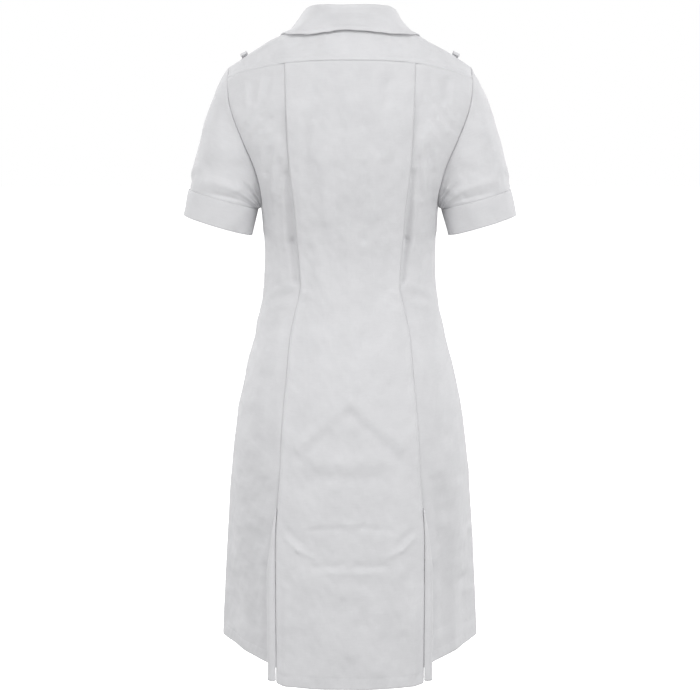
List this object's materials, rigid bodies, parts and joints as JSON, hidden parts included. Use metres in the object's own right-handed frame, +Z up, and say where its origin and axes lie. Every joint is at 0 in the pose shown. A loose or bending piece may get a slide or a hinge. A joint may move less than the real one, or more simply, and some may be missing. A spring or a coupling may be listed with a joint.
{
  "type": "nurse uniform dress",
  "caption": "Short-sleeved nurse uniform dress in its hollow worn shape: turned-down collar, yoke, panelled back with kick pleats, flared skirt, deep cuffs and shoulder strap loops.",
  "frame": {"origin": "middle of the neck, level with the tops of the wearer's shoulders, which carry the dress", "axes": "+Z up, the front faces -Y and the back +Y, +X is the wearer's left"},
  "size_m": [0.5344, 0.3448, 1.0514],
  "materials": {
    "white_cloth": "matt, closely woven, pressed",
    "button_plastic": "smooth, slightly glossy"
  },
  "bodies": {
    "root": {"back_centre": "white_cloth", "back_side_left": "white_cloth", "back_side_right": "white_cloth", "front_left": "white_cloth", "front_right": "white_cloth", "yoke": "white_cloth", "collar": "white_cloth", "sleeve_left": "white_cloth", "sleeve_right": "white_cloth", "cuff_left": "white_cloth", "cuff_right": "white_cloth", "pleat_left": "white_cloth", "pleat_right": "white_cloth", "strap_loop_left": "white_cloth", "strap_loop_right": "white_cloth", "button_1": "button_plastic", "button_2": "button_plastic", "button_3": "button_plastic", "button_4": "button_plastic", "button_5": "button_plastic", "button_6": "button_plastic", "button_7": "button_plastic", "button_8": "button_plastic"}
  },
  "joints": []
}
